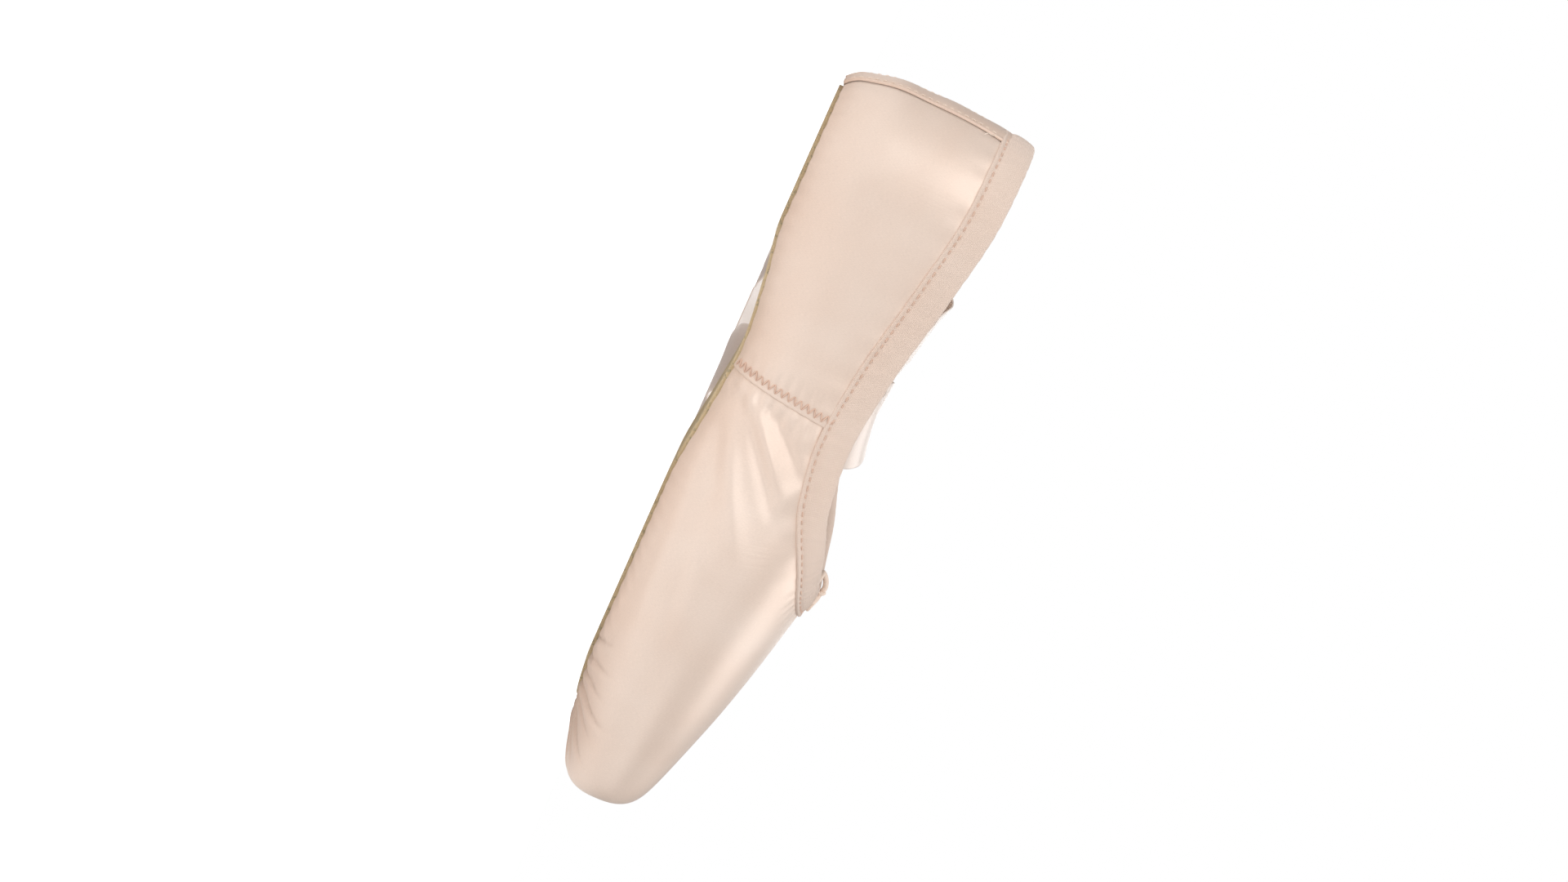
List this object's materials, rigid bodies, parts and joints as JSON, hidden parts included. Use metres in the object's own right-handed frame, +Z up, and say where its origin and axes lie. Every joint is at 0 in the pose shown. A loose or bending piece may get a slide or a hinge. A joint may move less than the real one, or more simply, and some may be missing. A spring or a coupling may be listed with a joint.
{
  "type": "pointe shoe",
  "caption": "Satin ballet pointe shoe with a stiff toe box, flat platform, suede outsole, drawstring binding and two loose satin ribbons, standing empty.",
  "frame": {"origin": "under the middle of the shoe's length and width, on the plane the outsole stands on", "axes": "+X from heel to toe, +Z up from the outsole, +Y to the wearer's left"},
  "size_m": [0.2461, 0.2611, 0.0593],
  "materials": {
    "upper_satin": "pale peach satin, soft sheen",
    "outsole_suede": "buff suede, matte",
    "insole_cloth": "off-white cloth, matte",
    "casing_tape": "matte cotton tape",
    "drawstring_cotton": "soft cotton cord",
    "ribbon_satin": "pale pink satin ribbon"
  },
  "bodies": {
    "root": {"upper": "upper_satin", "outsole": "outsole_suede", "insole": "insole_cloth", "collar_binding": "casing_tape", "drawstring_knot": "drawstring_cotton", "ribbon_medial": "ribbon_satin", "ribbon_lateral": "ribbon_satin"}
  },
  "joints": []
}
